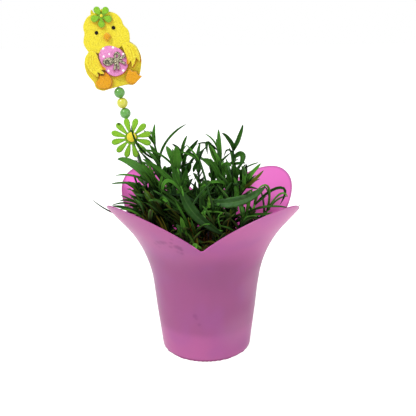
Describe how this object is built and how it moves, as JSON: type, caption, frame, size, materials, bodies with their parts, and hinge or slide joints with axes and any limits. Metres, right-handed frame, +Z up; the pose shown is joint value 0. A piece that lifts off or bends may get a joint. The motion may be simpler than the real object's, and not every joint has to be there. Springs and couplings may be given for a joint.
{
  "type": "potted dianthus",
  "caption": "Leafy dianthus without blooms in its grower pot, inside a frosted plastic pot cover with four petals, with a felt Easter chick, wooden beads and a felt daisy on a wire.",
  "frame": {"origin": "middle of the cover's flat foot, on the surface that it stands on", "axes": "+Z up along the pots' axis; -Y towards the side that the picture shows, between two petals of the cover; +X to the right seen from there"},
  "size_m": [0.189, 0.1682, 0.3137],
  "materials": {
    "cover": "frosted translucent pink polypropylene, paler along its edges",
    "grower_pot": "thin black moulded plastic",
    "soil": "dark crumbly potting soil",
    "foliage": "matt green leaves with a paler midrib",
    "wire": "plain steel wire",
    "green_bead": "satin painted wood",
    "yellow_bead": "satin painted wood",
    "lime_felt": "pressed felt",
    "yellow_felt": "pressed felt with darker cut edges",
    "orange_felt": "pressed felt",
    "pink_felt": "pressed felt with small white dots",
    "black_plastic": "small glossy bead",
    "glitter": "grey-gold glitter"
  },
  "bodies": {
    "root": {"cover": "cover", "grower_pot": "grower_pot", "soil": "soil", "stem_left_tuft": "foliage", "stem_broad_pair": "foliage", "stem_upright_pair": "foliage", "stem_front_bud": "foliage", "stem_tall_middle": "foliage", "stem_tall_right": "foliage", "stem_right": "foliage", "stem_right_rim": "foliage", "stem_hook": "foliage", "stem_front_rim": "foliage", "stem_left_big": "foliage", "stem_left": "foliage", "stem_left_low": "foliage", "stem_left_rim": "foliage", "stem_left_notch": "foliage", "stem_low_left": "foliage", "stem_low_right": "foliage", "stem_notch": "foliage", "stem_plain_1": "foliage", "stem_plain_2": "foliage", "stem_plain_3": "foliage", "stem_plain_4": "foliage", "stem_plain_5": "foliage", "stem_plain_6": "foliage", "stem_plain_7": "foliage", "stem_plain_8": "foliage", "stem_plain_9": "foliage", "stem_plain_10": "foliage", "stem_plain_11": "foliage", "stem_plain_12": "foliage", "stem_plain_13": "foliage", "wire": "wire", "bead_1": "green_bead", "bead_2": "yellow_bead", "bead_3": "green_bead", "daisy": "lime_felt", "daisy_centre": "yellow_felt", "chick_body": "yellow_felt", "chick_head": "yellow_felt", "tuft": "yellow_felt", "wing_left": "yellow_felt", "wing_right": "yellow_felt", "foot_left": "orange_felt", "foot_right": "orange_felt", "beak": "orange_felt", "eye_left": "black_plastic", "eye_right": "black_plastic", "egg": "pink_felt", "bow": "glitter", "head_flower": "lime_felt", "head_flower_centre": "yellow_felt"}
  },
  "joints": []
}
